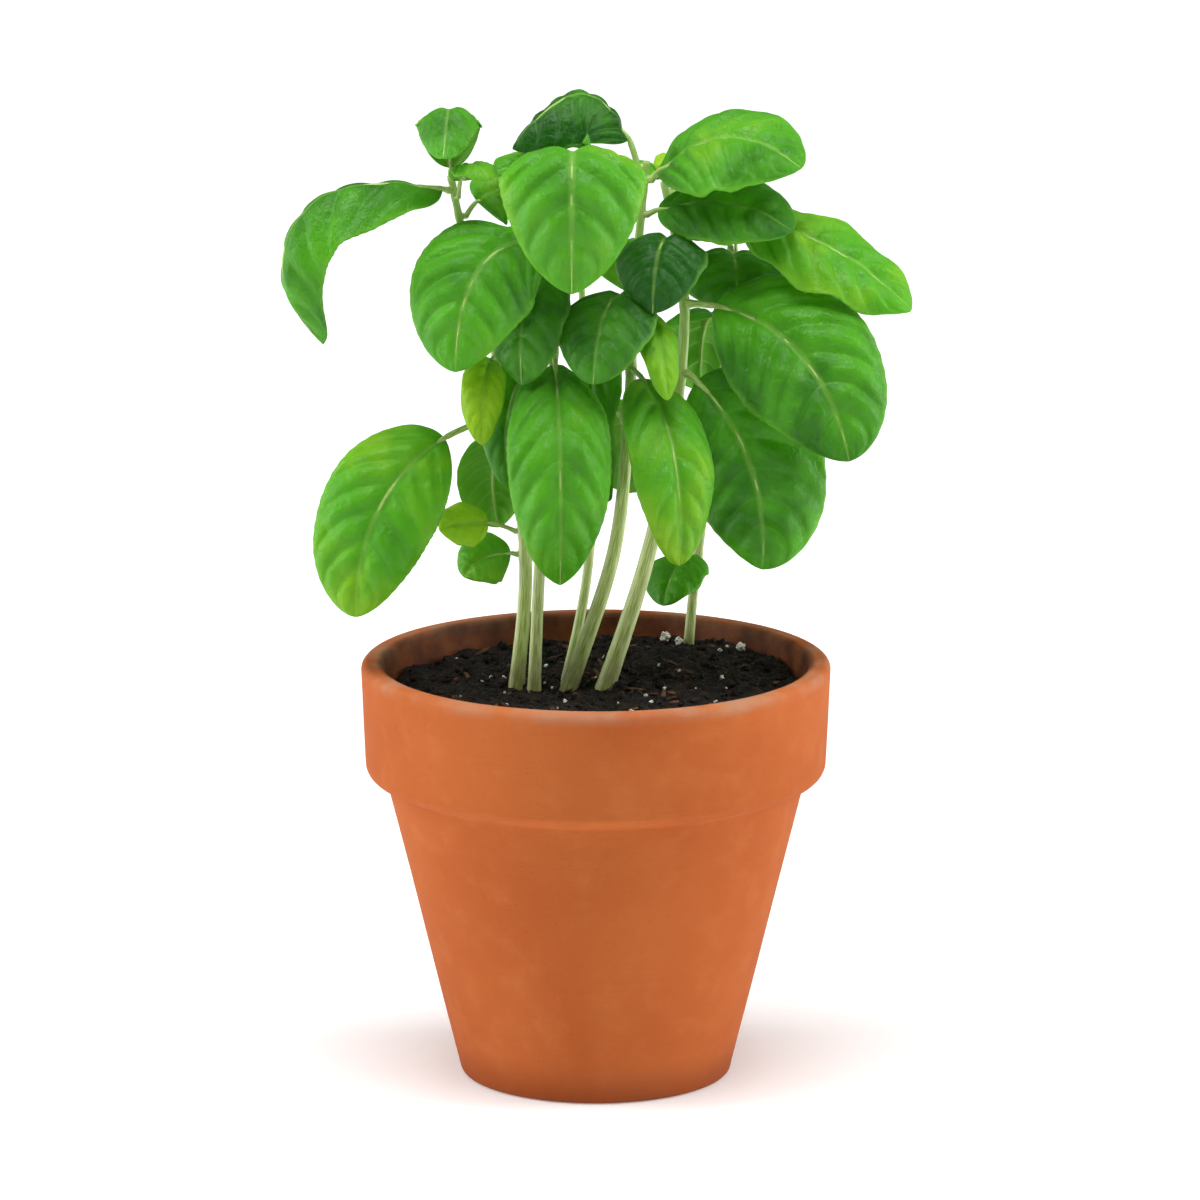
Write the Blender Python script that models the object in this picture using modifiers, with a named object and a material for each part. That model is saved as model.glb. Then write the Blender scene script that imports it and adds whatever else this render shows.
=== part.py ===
"""Potted basil: a banded terracotta pot, its soil, the stems rooted in it and their leaves.

Metres, +Z up. The origin is the centre of the pot's foot, on the surface that it stands on.
-Y is the plant's front. A stalked leaf is one solid, and so is each stem.
"""

import math
from typing import NamedTuple

import bmesh
import bpy
from mathutils import Vector

MM = 0.001
GAP = 0.3 * MM  # between solids that touch on the real plant

# Pot, turned about Z
POT_HEIGHT = 144 * MM
RIM_RADIUS = 80 * MM
RIM_INNER_RADIUS = 72.3 * MM
BAND_HEIGHT = 40 * MM
BAND_FOOT_RADIUS = 78.4 * MM
NECK_RADIUS = 71 * MM
FOOT_RADIUS = 46.5 * MM
FLOOR_THICKNESS = 9 * MM
FLOOR_RADIUS = 39 * MM
DRAIN_RADIUS = 10 * MM
POT_STEPS = 48

# Soil
SOIL_LEVEL = 134.5 * MM
SOIL_CLEARANCE = 0.8 * MM
SOIL_STEPS = 40
SOIL_RINGS = 6
ROOTING_DEPTH = 20 * MM

# Stems
STEM_SPANS = 14  # straight runs that a stem is made of
PATH_SAMPLES = 60  # steps in which a point on a stem or a midrib is looked up

# Leaves
BLADE_THICKNESS = 0.8 * MM
STALK_THICKNESS = 2.0 * MM
STALK_HALF_WIDTH = 1.0 * MM
BLADE_ROWS = 8
STALK_ROWS = 3
HALF_COLUMNS = 2
TIP_HALF_WIDTH = 0.4 * MM

TERRACOTTA = ("terracotta", (0.50, 0.16, 0.06), 0.85)
SOIL = ("soil", (0.020, 0.011, 0.008), 0.95)
PERLITE = ("perlite", (0.62, 0.58, 0.52), 0.9)
STEM = ("stem", (0.30, 0.42, 0.13), 0.5)
LEAF = ("leaf", (0.06, 0.26, 0.02), 0.4)
YOUNG_LEAF = ("young_leaf", (0.22, 0.44, 0.02), 0.4)


class Stem(NamedTuple):
    """Points that the stem runs through, in millimetres, from the soil to its top, and its two radii."""

    points: tuple
    low_radius: float
    top_radius: float


class Leaf(NamedTuple):
    """Lengths in millimetres, angles in degrees.

    arch bows the midrib up from its chord, as a share of the chord. turn rolls the upper face
    about the chord, and late is how far along the chord the bow holds. fold lifts each half off
    the midrib's plane, and curl bends it back down.
    """

    name: str
    stem: str
    node_z: float
    tip: tuple
    width: float
    arch: float = 0.2
    turn: float = 0
    fold: float = 15
    curl: float = 60
    stalk: float = 12
    late: float = 0.7
    young: bool = False


STEMS = {
    "stem_left": Stem(
        ((-27, 2, 135), (-24, 5, 180), (-31, 8, 236), (-44, 9, 286), (-49, 8, 310)), 2.8, 1.2
    ),
    "stem_mid_left": Stem(
        ((-21, -4, 135), (-19, 0, 178), (-15, 6, 235), (-12, 10, 280), (-5, 12, 312)), 2.4, 1.2
    ),
    "stem_centre": Stem(
        ((-9, -1, 135), (6, 5, 180), (11, 9, 225), (13, 12, 268), (17, 13, 314)), 3.0, 1.3
    ),
    "stem_right": Stem(
        ((3, -5, 135), (17, -4, 179), (26, 0, 222), (30, 9, 265), (25, 21, 296), (23, 24, 305)), 3.4, 1.3
    ),
    "stem_back": Stem(
        ((-10, 9, 135), (-3, 17, 170), (0, 30, 215), (-4, 40, 252), (-6, 44, 284)), 2.0, 1.1
    ),
    "stem_back_right": Stem(
        ((32, 47, 138), (34, 48, 160), (39, 46, 200), (44, 43, 240), (46, 40, 280)), 1.9, 1.1
    ),
}

LEAVES = (
    # Upper left
    Leaf("leaf_far_left", "stem_left", 305, (-92, -8, 255), 38, 0.52, 0, -35, 20, 2, late=1.0),
    Leaf("leaf_top_left", "stem_left", 309, (-51, -16, 320), 26, 0.8, 0, -10, 40, 4, young=True),
    Leaf("leaf_top_left_low", "stem_left", 303, (-36, -12, 312), 18, 0.35, 0, 0, 40, 6, young=True),
    Leaf("leaf_top_left_inner", "stem_left", 296, (-27, 11, 305), 26, 0.15, 45, 10, 50, 6),
    Leaf("leaf_upper_left", "stem_mid_left", 300, (-34, 3, 312), 24, 0.22, -30, 10, 50, 6),
    # Left
    Leaf("leaf_left_low", "stem_left", 227, (-81, -26, 165), 42, 0.22, -50, 12, 45, 24),
    Leaf("leaf_left_round", "stem_mid_left", 285, (-47, -30, 250), 46, 0.33, -35, 0, 40, 10),
    Leaf("leaf_left_young", "stem_left", 248, (-38, -20, 223), 17, 0.3, -20, 12, 60, 6, young=True),
    Leaf("leaf_left_inner", "stem_left", 222, (-33, 15, 187), 26, 0.2, 30, 12, 50, 5),
    Leaf("leaf_left_hanging", "stem_mid_left", 254, (-28, -7, 205), 20, 0.22, -30, 12, 50, 6),
    Leaf("leaf_left_bud", "stem_left", 188, (-53, -4, 190), 18, 0.1, -50, 15, 50, 10, young=True),
    Leaf("leaf_left_lowest", "stem_left", 180, (-45, 0, 173), 21, 0.15, -50, 12, 50, 2),
    # Centre
    Leaf("leaf_centre_pale", "stem_mid_left", 306, (-8, -38, 278), 54, 0.62, 0, 0, 40, 8),
    Leaf("leaf_centre_left", "stem_mid_left", 277, (-25, -18, 243), 30, 0.3, 0, 8, 50, 6),
    Leaf("leaf_top_dome", "stem_centre", 312, (-28, 2, 320), 42, 0.48, -15, -25, 30, 10),
    Leaf("leaf_centre_front", "stem_mid_left", 249, (-12, -35, 178), 39, 0.27, 0, 12, 60, 8),
    Leaf("leaf_centre_shaded", "stem_centre", 260, (4, 5, 198), 25, 0.2, 0, 12, 60, 6),
    Leaf("leaf_centre_mid", "stem_centre", 266, (-1, -31, 246), 37, 0.3, 0, 8, 50, 8),
    Leaf("leaf_centre_right", "stem_centre", 243, (28, -32, 184), 32, 0.25, 0, 15, 60, 8),
    Leaf("leaf_centre_young", "stem_centre", 262, (24, -28, 240), 15, 0.25, 0, 12, 60, 10, young=True),
    # Right
    Leaf("leaf_top_right", "stem_centre", 308, (69, -7, 315), 50, 0.22, 27, 5, 40, 3),
    Leaf("leaf_right_shaded", "stem_centre", 296, (66, -9, 294), 35, 0.13, 32, 8, 40, 4),
    Leaf("leaf_right_long", "stem_right", 295, (106, -6, 266), 40, 0.12, 25, 8, 50, 24),
    Leaf("leaf_right_dark", "stem_right", 284, (19, -20, 268), 35, 0.36, 0, 5, 50, 6),
    Leaf("leaf_right_big", "stem_right", 266, (85, -28, 219), 53, 0.2, 50, 10, 50, 10),
    Leaf("leaf_right_inner", "stem_back_right", 275, (48, 12, 262), 44, 0.35, 0, 8, 50, 6),
    Leaf("leaf_right_low", "stem_right", 243, (56, -15, 179), 52, 0.15, 65, 10, 50, 4),
    Leaf("leaf_right_lowest", "stem_back_right", 170, (23, 22, 158), 24, 0.2, 0, 12, 50, 4),
    # Back
    Leaf("leaf_back_left_top", "stem_back", 278, (-32, 74, 262), 44, 0.3, 0, 8, 50, 10),
    Leaf("leaf_back_right_top", "stem_back", 271, (20, 78, 254), 42, 0.3, 0, 8, 50, 10),
    Leaf("leaf_back_left_low", "stem_back", 232, (-28, 66, 190), 42, 0.25, 0, 10, 50, 10),
    Leaf("leaf_back_right_low", "stem_back", 224, (12, 76, 186), 42, 0.25, 0, 10, 50, 10),
    Leaf("leaf_back_far_right", "stem_back_right", 272, (74, 68, 250), 42, 0.3, 0, 8, 50, 10),
    Leaf("leaf_back_middle", "stem_back_right", 252, (36, 80, 222), 40, 0.3, 0, 8, 50, 8),
    Leaf("leaf_back_low_right", "stem_back_right", 212, (66, 58, 174), 40, 0.25, 0, 10, 50, 8),
    Leaf("leaf_back_left", "stem_left", 262, (-44, 44, 240), 34, 0.3, 0, 8, 50, 8),
    Leaf("leaf_back_upper_left", "stem_mid_left", 298, (-33, 44, 298), 34, 0.3, 0, 8, 50, 8),
    Leaf("leaf_back_top", "stem_centre", 304, (2, 56, 300), 36, 0.15, 0, 8, 50, 8),
    Leaf("leaf_back_top_right", "stem_right", 301, (56, 62, 300), 38, 0.2, 0, 8, 50, 8),
    # Buds
    Leaf("bud_left", "stem_back", 282, (-15, 45, 294), 9, 0.15, 0, 15, 60, 4, young=True),
    Leaf("bud_right", "stem_back_right", 278, (54, 34, 294), 9, 0.15, 0, 15, 60, 4, young=True),
    Leaf("bud_top", "stem_right", 303, (23, 36, 313), 8, 0.15, 0, 15, 60, 3, young=True),
)

PERLITE_GRAINS = ((24, 54, 1.8), (28.5, 45, 1.3), (50, 40, 1.5), (-6, 48, 1.4))


def arc(centre_r, centre_z, radius, start, end, steps=4):
    """Points of a round edge in a turned profile, from angle start to end in degrees."""
    angles = [math.radians(start + (end - start) * i / steps) for i in range(steps + 1)]
    return [(centre_r + radius * math.cos(a), centre_z + radius * math.sin(a)) for a in angles]


def pot_inner_radius(z):
    """Radius of the pot's inside wall, a plain cone from its floor to its rim."""
    share = (z - FLOOR_THICKNESS) / (POT_HEIGHT - FLOOR_THICKNESS)
    return FLOOR_RADIUS + (RIM_INNER_RADIUS - FLOOR_RADIUS) * share


def pot_profile():
    """The wall's closed section, down the outside, under the foot, up the drain hole and the inside."""
    lip, band_edge, foot_edge, floor_edge = 2.5 * MM, 5 * MM, 2.5 * MM, 5 * MM
    band_foot_z = POT_HEIGHT - BAND_HEIGHT
    floor_corner = [
        (FLOOR_RADIUS - floor_edge, FLOOR_THICKNESS),
        (FLOOR_RADIUS + 1 * MM, FLOOR_THICKNESS + floor_edge),
    ]
    return (
        arc(RIM_RADIUS - lip, POT_HEIGHT - lip, lip, 90, 5, 3)
        + arc(BAND_FOOT_RADIUS - band_edge, band_foot_z + band_edge, band_edge, -5, -80, 3)
        + [(NECK_RADIUS + 0.8 * MM, band_foot_z - 0.4 * MM), (NECK_RADIUS, band_foot_z - 2 * MM)]
        + arc(FOOT_RADIUS - foot_edge, foot_edge, foot_edge, -14, -90, 3)
        + [(DRAIN_RADIUS + 1 * MM, 0), (DRAIN_RADIUS, 1 * MM)]
        + [(DRAIN_RADIUS, FLOOR_THICKNESS - 1 * MM), (DRAIN_RADIUS + 1 * MM, FLOOR_THICKNESS)]
        + floor_corner
        + arc(RIM_INNER_RADIUS + lip, POT_HEIGHT - lip, lip, 175, 90, 3)
    )


def soil_surface(x, y):
    """Height of the soil's top: a low mound behind the stems, dipping to the wall in front."""
    mound = 5.5 * MM * math.exp(-((x - 25 * MM) ** 2 + (y - 35 * MM) ** 2) / (38 * MM) ** 2)
    ripple = 0.8 * MM * math.sin(x * 140 + 1) * math.cos(y * 120)
    return SOIL_LEVEL + mound + ripple


def catmull_rom(points, share):
    """The point at share 0 to 1 of a smooth curve through points."""
    spans = len(points) - 1
    span = min(int(share * spans), spans - 1)
    t = share * spans - span
    a, b, c, d = (points[min(max(span + k, 0), spans)] for k in (-1, 0, 1, 2))
    return 0.5 * (2 * b + (c - a) * t + (2 * a - 5 * b + 4 * c - d) * t**2 + (3 * b - a - 3 * c + d) * t**3)


def stem_path(stem, steps=STEM_SPANS):
    points = [Vector(p) * MM for p in stem.points]
    return [catmull_rom(points, i / steps) for i in range(steps + 1)]


def stem_radius(stem, z):
    low, top = stem.points[0][2] * MM, stem.points[-1][2] * MM
    share = min(max((z - low) / (top - low), 0), 1)
    return (stem.low_radius + (stem.top_radius - stem.low_radius) * share) * MM


def stem_point(stem, z):
    """Where the stem's centreline is at height z."""
    path = stem_path(stem, PATH_SAMPLES)
    for low, high in zip(path, path[1:]):
        if low.z <= z <= high.z:
            return low.lerp(high, (z - low.z) / (high.z - low.z))
    return path[-1]


def material(look):
    name, colour, roughness = look
    found = bpy.data.materials.get(name)
    if found:
        return found
    made = bpy.data.materials.new(name)
    made.use_nodes = True
    shader = made.node_tree.nodes["Principled BSDF"]
    shader.inputs["Base Color"].default_value = (*colour, 1)
    shader.inputs["Roughness"].default_value = roughness
    shader.inputs["Metallic"].default_value = 0
    return made


def add_object(name, data, collection, look=None):
    made = bpy.data.objects.new(name, data)
    collection.objects.link(made)
    if look:
        data.materials.append(material(look))
    return made


def add_turned(name, profile, closed, steps, collection, look):
    """A profile of (radius, height) points turned about Z."""
    mesh = bpy.data.meshes.new(name)
    edges = [(i, i + 1) for i in range(len(profile) - 1)] + ([(len(profile) - 1, 0)] if closed else [])
    mesh.from_pydata([(r, 0, z) for r, z in profile], edges, [])
    made = add_object(name, mesh, collection, look)
    screw = made.modifiers.new("turn", "SCREW")
    screw.axis = "Z"
    screw.steps = screw.render_steps = steps
    screw.use_merge_vertices = True
    screw.merge_threshold = 0.00001
    return made


def as_mesh(source, collection, look=None):
    """Replaces source with its evaluated shape, a plain mesh whose caps are welded to its sides."""
    bpy.context.view_layer.update()
    graph = bpy.context.evaluated_depsgraph_get()
    mesh = bpy.data.meshes.new_from_object(source.evaluated_get(graph))
    welded = bmesh.new()
    welded.from_mesh(mesh)
    bmesh.ops.remove_doubles(welded, verts=welded.verts, dist=0.00001)
    bmesh.ops.recalc_face_normals(welded, faces=welded.faces)
    welded.to_mesh(mesh)
    welded.free()
    mesh.materials.clear()
    mesh.shade_smooth()
    name, matrix = source.name, source.matrix_world.copy()
    bpy.data.objects.remove(source)
    made = add_object(name, mesh, collection, look)
    made.matrix_world = matrix
    return made


def add_tube(name, path, radii, collection):
    """A round tapering tube along path, with flat ends."""
    curve = bpy.data.curves.new(name, "CURVE")
    curve.dimensions = "3D"
    curve.bevel_depth = 1
    curve.bevel_resolution = 1
    curve.use_fill_caps = True
    spline = curve.splines.new("POLY")
    spline.points.add(len(path) - 1)
    for point, place, radius in zip(spline.points, path, radii):
        point.co = (*place, 1)
        point.radius = radius
    return add_object(name, curve, collection)


def add_pot(collection):
    pot = add_turned("pot", pot_profile(), True, POT_STEPS, collection, TERRACOTTA)
    pot.data.shade_smooth()


def rooted_path(stem, depth, height):
    """A straight run along the stem's foot, from depth under the soil point to height over it."""
    start = Vector(stem.points[0]) * MM
    along = (stem_point(stem, start.z + 12 * MM) - start).normalized()
    return [start - along * depth, start, start + along * height]


def add_soil(collection, cutters):
    """Soil that fills the pot, with a socket for each rooted stem."""
    bottom = FLOOR_THICKNESS + 5 * MM
    edge = pot_inner_radius(SOIL_LEVEL) - SOIL_CLEARANCE
    foot = pot_inner_radius(bottom) - SOIL_CLEARANCE
    rings = [(edge * i / SOIL_RINGS, SOIL_LEVEL) for i in range(SOIL_RINGS + 1)]
    base = [(foot, bottom), (foot - 7 * MM, FLOOR_THICKNESS + GAP), (0, FLOOR_THICKNESS + GAP)]
    soil = as_mesh(add_turned("soil", rings + base, False, SOIL_STEPS, collection, SOIL), collection, SOIL)
    for vertex in soil.data.vertices:
        if vertex.co.z > SOIL_LEVEL - 1 * MM:
            vertex.co.z = soil_surface(vertex.co.x, vertex.co.y)
    for name, stem in STEMS.items():
        path = rooted_path(stem, ROOTING_DEPTH + GAP, 12 * MM)
        radii = [stem_radius(stem, point.z) + GAP for point in path]
        cutter = as_mesh(add_tube(name + "_socket", path, radii, cutters), cutters)
        cutter.hide_render = True
        cutter.display_type = "WIRE"
        cut = soil.modifiers.new(cutter.name, "BOOLEAN")
        cut.operation = "DIFFERENCE"
        cut.object = cutter


def add_stems(collection):
    for name, stem in STEMS.items():
        path = rooted_path(stem, ROOTING_DEPTH, 0)[:1] + stem_path(stem)
        radii = [stem_radius(stem, point.z) for point in path]
        as_mesh(add_tube(name, path, radii, collection), collection, STEM)


def midrib(leaf):
    """The midrib's four Bezier points, from the stem to the tip, and where the upper face looks."""
    stem = STEMS[leaf.stem]
    centre, tip = stem_point(stem, leaf.node_z * MM), Vector(leaf.tip) * MM
    outward = Vector((tip.x - centre.x, tip.y - centre.y, 0)).normalized()
    along = (tip - centre).normalized()
    up = (Vector((0, 0, 1)) - along * along.z).normalized()
    turn = math.radians(leaf.turn)
    face = up * math.cos(turn) + along.cross(up) * math.sin(turn)
    bow = up * (leaf.arch * 4 / 3 * (tip - centre).length)
    lean = ((tip - centre) * 0.3 + bow).angle(outward)
    clearance = 1.3 * GAP + STALK_THICKNESS / 2 * math.sin(lean)
    base = centre + outward * (stem_radius(stem, centre.z) + clearance)
    return (base, base.lerp(tip, 0.3) + bow, base.lerp(tip, leaf.late) + bow, tip), face


def midrib_frames(leaf):
    """Points along the midrib, each with its tangent and its upper face's normal."""
    (a, b, c, d), face = midrib(leaf)
    frames = []
    for i in range(PATH_SAMPLES + 1):
        t = i / PATH_SAMPLES
        place = a * (1 - t) ** 3 + b * (3 * t * (1 - t) ** 2) + c * (3 * t * t * (1 - t)) + d * t**3
        tangent = ((b - a) * (1 - t) ** 2 + (c - b) * (2 * t * (1 - t)) + (d - c) * t * t).normalized()
        frames.append([place, tangent, face])
    middle = PATH_SAMPLES // 2
    for order in (range(middle, PATH_SAMPLES + 1), range(middle, -1, -1)):
        normal = face
        for i in order:
            tangent = frames[i][1]
            normal = (normal - tangent * normal.dot(tangent)).normalized()
            frames[i][2] = normal
    return frames


def frame_at(frames, lengths, distance):
    """The midrib's place, tangent and normal at a distance along it."""
    for i in range(1, len(frames)):
        if lengths[i] >= distance or i == len(frames) - 1:
            share = min(max((distance - lengths[i - 1]) / (lengths[i] - lengths[i - 1]), 0), 1)
            return [frames[i - 1][k].lerp(frames[i][k], share) for k in range(3)]


def blade_half_width(share):
    """Outline of an ovate leaf from its base to its tip, as a share of its greatest half width."""
    rise, fall = 0.5, 0.58
    peak = rise / (rise + fall)
    return share**rise * (1 - share) ** fall / (peak**rise * (1 - peak) ** fall)


def leaf_point(leaf, frames, lengths, across, row):
    """A point of the leaf's middle surface.

    across runs from -1 to 1 between its edges, and row counts from the stem to the tip.
    """
    stalk, whole = leaf.stalk * MM, lengths[-1]
    distance, half_width = stalk * row / STALK_ROWS, STALK_HALF_WIDTH
    if row > STALK_ROWS:
        even = (row - STALK_ROWS) / BLADE_ROWS
        share = 0.4 * even + 0.3 * (1 - math.cos(math.pi * even))
        distance = stalk + (whole - stalk) * share
        half_width = max(leaf.width / 2 * MM * blade_half_width(share), TIP_HALF_WIDTH)
    place, tangent, normal = frame_at(frames, lengths, distance)
    side = tangent.cross(normal)
    fold, curl = math.radians(leaf.fold), math.radians(leaf.curl)
    sideways = (math.sin(fold) - math.sin(fold - curl * abs(across))) / curl
    lift = (math.cos(fold - curl * abs(across)) - math.cos(fold)) / curl
    return place + side * math.copysign(sideways * half_width, across) + normal * (lift * half_width)


def add_leaf(leaf, collection):
    """A grid laid along the midrib and thickened, more at the stalk than over the blade."""
    frames = midrib_frames(leaf)
    lengths = [0]
    for before, after in zip(frames, frames[1:]):
        lengths.append(lengths[-1] + (after[0] - before[0]).length)
    rows = STALK_ROWS + BLADE_ROWS
    grid = bmesh.new()
    bmesh.ops.create_grid(grid, x_segments=2 * HALF_COLUMNS, y_segments=rows, size=0.5)
    stalk_group = []
    grid.verts.index_update()
    for vertex in grid.verts:
        row = round((vertex.co.y + 0.5) * rows)
        if row <= STALK_ROWS:
            stalk_group.append(vertex.index)
        vertex.co = leaf_point(leaf, frames, lengths, 2 * vertex.co.x, row)
    mesh = bpy.data.meshes.new(leaf.name)
    grid.to_mesh(mesh)
    grid.free()
    made = add_object(leaf.name, mesh, collection, YOUNG_LEAF if leaf.young else LEAF)
    made.vertex_groups.new(name="stalk").add(stalk_group, 1, "REPLACE")
    solid = made.modifiers.new("thickness", "SOLIDIFY")
    solid.thickness = STALK_THICKNESS
    solid.offset = 0
    solid.vertex_group = "stalk"
    solid.thickness_vertex_group = BLADE_THICKNESS / STALK_THICKNESS
    mesh.shade_smooth()
    return made


def add_perlite(collection):
    for number, (x, y, size) in enumerate(PERLITE_GRAINS, 1):
        grain = bmesh.new()
        bmesh.ops.create_icosphere(grain, subdivisions=1, radius=size * MM)
        mesh = bpy.data.meshes.new(f"perlite_{number}")
        grain.to_mesh(mesh)
        grain.free()
        made = add_object(mesh.name, mesh, collection, PERLITE)
        made.location = (x * MM, y * MM, soil_surface(x * MM, y * MM) + size * MM + GAP)
        made.rotation_euler = (number, 2 * number, 0)


def main():
    for old in list(bpy.data.objects):
        bpy.data.objects.remove(old)
    plant = bpy.data.collections.new("potted_basil")
    cutters = bpy.data.collections.new("cutters")
    for collection in (plant, cutters):
        bpy.context.scene.collection.children.link(collection)
    add_pot(plant)
    add_soil(plant, cutters)
    add_stems(plant)
    for leaf in LEAVES:
        add_leaf(leaf, plant)
    add_perlite(plant)


main()
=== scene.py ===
"""Looks for the potted basil: detailed leaves, stems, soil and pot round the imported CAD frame.

Metres, +Z up, the plant's front towards -Y. The stem and leaf tables and the shape functions are
those of the CAD part, in millimetres and degrees, evaluated here at a higher resolution.
"""

import math
import random
from typing import NamedTuple

import bmesh
import bpy
from mathutils import Euler, Matrix, Vector, noise


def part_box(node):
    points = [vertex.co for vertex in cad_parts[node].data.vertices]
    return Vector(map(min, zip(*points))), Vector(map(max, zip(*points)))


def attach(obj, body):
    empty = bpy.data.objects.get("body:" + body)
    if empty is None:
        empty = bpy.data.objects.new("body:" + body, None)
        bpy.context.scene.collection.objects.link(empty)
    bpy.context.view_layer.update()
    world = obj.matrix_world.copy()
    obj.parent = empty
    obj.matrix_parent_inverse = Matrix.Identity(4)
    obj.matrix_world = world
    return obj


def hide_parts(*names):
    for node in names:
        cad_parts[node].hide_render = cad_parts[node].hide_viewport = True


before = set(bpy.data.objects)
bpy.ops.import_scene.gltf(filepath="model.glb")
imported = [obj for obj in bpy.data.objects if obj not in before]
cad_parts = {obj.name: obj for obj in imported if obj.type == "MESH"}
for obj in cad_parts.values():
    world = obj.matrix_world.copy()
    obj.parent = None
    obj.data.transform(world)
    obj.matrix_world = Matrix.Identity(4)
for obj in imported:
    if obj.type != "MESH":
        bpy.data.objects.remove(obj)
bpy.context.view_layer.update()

MM = 0.001

# Pot, turned about Z
POT_HEIGHT = 144 * MM
RIM_RADIUS = 80 * MM
RIM_INNER_RADIUS = 72.3 * MM
BAND_HEIGHT = 40 * MM
BAND_FOOT_RADIUS = 78.4 * MM
NECK_RADIUS = 71 * MM
FOOT_RADIUS = 46.5 * MM
FLOOR_THICKNESS = 9 * MM
FLOOR_RADIUS = 39 * MM
DRAIN_RADIUS = 10 * MM
POT_SIDES = 192
POT_PITCH = 2.5 * MM  # longest step along the turned profile

# Soil
SOIL_LEVEL = 134.5 * MM
SOIL_CLEARANCE = 0.8 * MM
SOIL_RINGS = 84
SOIL_SIDES = 260
SOIL_SHOULDER = 5 * MM  # height of the chamfer at the soil's foot
CRUMBS, CRUMB_SEED = 620, 11
FIBRES, FIBRE_SEED = 60, 12
PERLITE_FINES, FINES_SEED = 46, 13
FINES_REACH = 64 * MM
ROOTING_DEPTH = 20 * MM

# Stems
STEM_SPANS = 110
STEM_SIDES = 28
RIDGE = 0.075  # how far a stem's four corners stand out, as a share of its radius

# Leaves
BLADE_THICKNESS = 0.4 * MM
BLADE_PITCH = 0.85 * MM  # spacing of a blade's rows and columns
PATH_SAMPLES = 120
TIP_HALF_WIDTH = 0.4 * MM
STALK_SIDES = 12
CLEARANCE = 0.39 * MM  # from a stem's side to a stalk's foot in the CAD
CAD_STALK_RADIUS = 1.0 * MM
QUILTING = 1.65 * MM  # height of the pads between the side veins of a 45 mm blade
GROOVE_DEPTH = 0.7 * MM
UNEVENNESS = 1.7 * MM
CRINKLE = 0.55 * MM
TEETH = 0.006  # how far the edge's small teeth stand out, as a share of the half width
LIGHT_THROUGH = 0.3  # share of the light that each face of a blade lets through

# Veins, in a blade's own coordinates: across 0 at the midrib to 1 at the edge, along 0 to 1
VEIN_PAIRS = 7
VEIN_SWEEP = 0.26  # how far a side vein runs forward on its way to the edge
VEIN_BEND = 1.5

# Studio
MIDDLE = (0, 0, 0.18)
SIDE_POWER = 10.5
TOP_POWER = 14
SKY_STRENGTH = 0.2
BACKDROP_RADIUS = 12  # inside the reach of every camera that looks at the plant
FLOOR_HALF_SIZE = 14
CAMERA_ELEVATION = 12.8
CAMERA_DISTANCE = 3.0
CAMERA_TARGET = (1.4 * MM, 0, 165 * MM)
SENSOR_WIDTH = 36
LENS = 264.7


class Stem(NamedTuple):
    """Points from the soil to the stem's top, and its two radii."""

    points: tuple
    low_radius: float
    top_radius: float


class Leaf(NamedTuple):
    """The CAD part's leaf, with two looks: tone, from 0 deep green to 1 yellow-green and past it for a bud,
    which is partly the leaf's own green and partly painted shade, kept low on leaves that sit in shade; and
    ruffle, how far the edge waves, in millimetres."""

    name: str
    stem: str
    node_z: float
    tip: tuple
    width: float
    arch: float = 0.2
    turn: float = 0
    fold: float = 15
    curl: float = 60
    stalk: float = 12
    late: float = 0.7
    young: bool = False
    tone: float = 0.4
    ruffle: float = 0.9


STEMS = {
    "stem_left": Stem(
        ((-27, 2, 135), (-24, 5, 180), (-31, 8, 236), (-44, 9, 286), (-49, 8, 310)), 2.8, 1.2
    ),
    "stem_mid_left": Stem(
        ((-21, -4, 135), (-19, 0, 178), (-15, 6, 235), (-12, 10, 280), (-5, 12, 312)), 2.4, 1.2
    ),
    "stem_centre": Stem(
        ((-9, -1, 135), (6, 5, 180), (11, 9, 225), (13, 12, 268), (17, 13, 314)), 3.0, 1.3
    ),
    "stem_right": Stem(
        ((3, -5, 135), (17, -4, 179), (26, 0, 222), (30, 9, 265), (25, 21, 296), (23, 24, 305)), 3.4, 1.3
    ),
    "stem_back": Stem(
        ((-10, 9, 135), (-3, 17, 170), (0, 30, 215), (-4, 40, 252), (-6, 44, 284)), 2.0, 1.1
    ),
    "stem_back_right": Stem(
        ((32, 47, 138), (34, 48, 160), (39, 46, 200), (44, 43, 240), (46, 40, 280)), 1.9, 1.1
    ),
}

# Low tones, as on leaf_right_dark and leaf_top_dome, are partly painted shade for leaves that sit in shade.
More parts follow.
